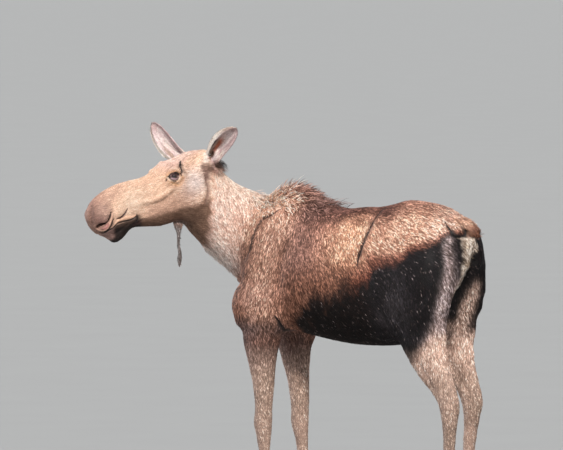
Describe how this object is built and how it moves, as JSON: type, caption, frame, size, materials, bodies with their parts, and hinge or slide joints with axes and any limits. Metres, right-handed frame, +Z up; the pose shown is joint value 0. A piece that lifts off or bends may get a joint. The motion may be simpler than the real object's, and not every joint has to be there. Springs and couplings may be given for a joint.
{
  "type": "moose",
  "caption": "Life-size standing cow moose without antlers, head turned to its left, with a hump over the shoulders, long legs and cloven hooves.",
  "frame": {"origin": "centre of the bounding box at floor level, where the soles of the eight claws stand", "axes": "+Z up; the trunk faces -X; the moose's left side, to which its head is turned, is towards -Y"},
  "size_m": [2.0236, 1.0768, 2.0961],
  "materials": {
    "body_coat": "short, damp, dark brown summer coat, lighter over the hump, ribs and hips",
    "neck_coat": "short pale tan coat",
    "face_coat": "very short tan coat, greyer brown towards the nose",
    "ear_coat": "short coat outside, pale hair inside the cup",
    "leg_coat": "short coat, grey brown",
    "bell_coat": "wet, dark hair in a rope",
    "eye": "dark brown, wet gloss",
    "horn": "dark grey-brown horn"
  },
  "bodies": {
    "root": {"bell": "bell_coat", "claw_fore_left_inner": "horn", "claw_fore_left_outer": "horn", "claw_fore_right_inner": "horn", "claw_fore_right_outer": "horn", "claw_hind_left_inner": "horn", "claw_hind_left_outer": "horn", "claw_hind_right_inner": "horn", "claw_hind_right_outer": "horn", "dewclaw_fore_left_inner": "horn", "dewclaw_fore_left_outer": "horn", "dewclaw_fore_right_inner": "horn", "dewclaw_fore_right_outer": "horn", "dewclaw_hind_left_inner": "horn", "dewclaw_hind_left_outer": "horn", "dewclaw_hind_right_inner": "horn", "dewclaw_hind_right_outer": "horn", "ear_left": "ear_coat", "ear_right": "ear_coat", "eye_left": "eye", "eye_right": "eye", "head": "face_coat", "leg_fore_left": "leg_coat", "leg_fore_right": "leg_coat", "leg_hind_left": "leg_coat", "leg_hind_right": "leg_coat", "neck": "neck_coat", "tail": "body_coat", "trunk": "body_coat"}
  },
  "joints": []
}
